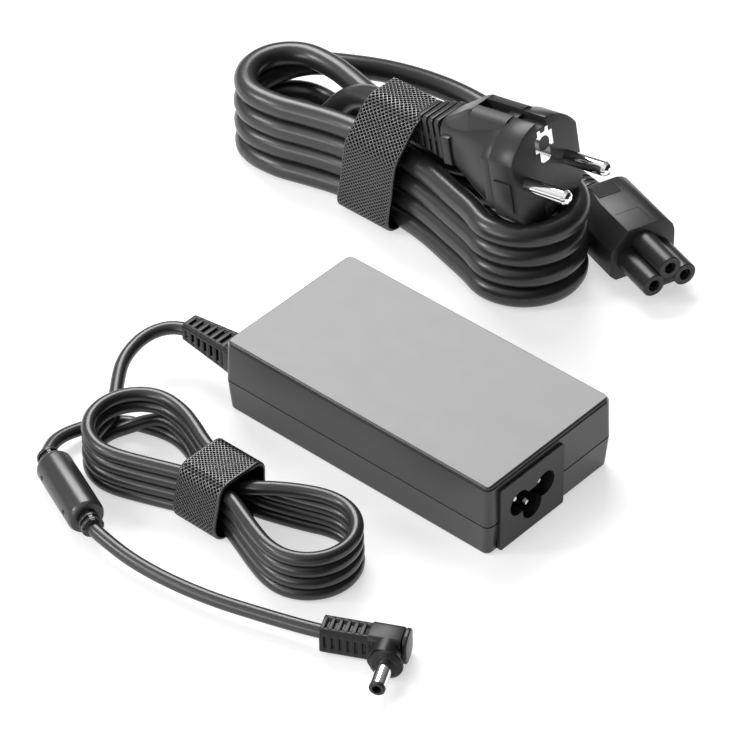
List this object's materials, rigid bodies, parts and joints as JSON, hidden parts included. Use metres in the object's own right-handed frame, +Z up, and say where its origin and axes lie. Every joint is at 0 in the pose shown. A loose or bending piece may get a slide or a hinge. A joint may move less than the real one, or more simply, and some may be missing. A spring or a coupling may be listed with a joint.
{
  "type": "laptop power adapter",
  "caption": "Laptop power supply brick with a moulded low-voltage lead, ferrite and right-angle barrel plug, and a separate mains lead, both leads wound in strapped hanks.",
  "frame": {"origin": "on the table, under the middle of the brick", "axes": "+X along the brick towards its mains inlet, +Y across it towards the mains lead, +Z up"},
  "size_m": [0.2138, 0.2348, 0.0617],
  "materials": {
    "case": "fine matt grain",
    "panel": "flat satin",
    "inlet": "matt",
    "plated_metal": "bright nickel plating",
    "board": "bare laminate",
    "ceramic": "glossy",
    "film": "glossy",
    "ferrite": "sintered, dull",
    "copper": "enamelled",
    "bobbin": "dull",
    "chip": "dull",
    "can": "shrunk sleeve",
    "heatsink": "rolled",
    "cord": "smooth, half gloss",
    "moulding": "matt to half gloss",
    "strap": "woven loop"
  },
  "bodies": {
    "brick": {"lower_shell": "case", "upper_shell": "case", "top_panel": "panel", "inlet_housing": "inlet", "inlet_pin_line": "plated_metal", "inlet_pin_neutral": "plated_metal", "inlet_pin_earth": "plated_metal", "circuit_board": "board", "cartridge_fuse": "ceramic", "line_capacitor": "film", "choke_core": "ferrite", "choke_winding": "copper", "bridge_rectifier": "chip", "reservoir_capacitor": "can", "primary_heatsink": "heatsink", "switching_transistor": "chip", "transformer_core_front": "ferrite", "transformer_core_back": "ferrite", "transformer_bobbin": "bobbin", "transformer_winding": "copper", "secondary_heatsink": "heatsink", "output_rectifier": "chip", "output_capacitor_front": "can", "output_capacitor_back": "can", "opto_coupler": "chip", "control_chip": "chip", "insulating_sheet": "film", "cable_boot": "moulding", "dc_wire_positive": "cord", "dc_wire_negative": "cord", "dc_cord_lead_in": "cord", "dc_cord_hank": "cord", "dc_strap": "strap", "dc_cord_to_ferrite": "cord", "dc_cord_in_ferrite": "cord", "ferrite_cover": "moulding", "ferrite_core": "ferrite", "dc_cord_to_plug": "cord", "dc_plug_boot": "moulding", "dc_plug_body": "moulding", "dc_plug_end_cap": "moulding", "dc_barrel_sleeve": "plated_metal", "dc_barrel_insulator": "moulding", "dc_centre_contact": "plated_metal"},
    "mains_lead": {"mains_cord_hank": "cord", "mains_strap": "strap", "mains_cord_to_plug": "cord", "mains_plug_body": "moulding", "mains_plug_insert": "moulding", "mains_pin_line": "plated_metal", "mains_pin_neutral": "plated_metal", "mains_earth_clip_top": "plated_metal", "mains_earth_clip_bottom": "plated_metal", "mains_plug_relief": "moulding", "mains_cord_to_connector": "cord", "connector_body": "moulding", "connector_contact_line": "plated_metal", "connector_contact_neutral": "plated_metal", "connector_contact_earth": "plated_metal", "connector_relief": "moulding"}
  },
  "joints": [
    {"name": "mains_lead_lift", "type": "slide", "parent": "brick", "child": "mains_lead", "axis": [0, 0, 1], "range_m": [0, 0.08]}
  ]
}
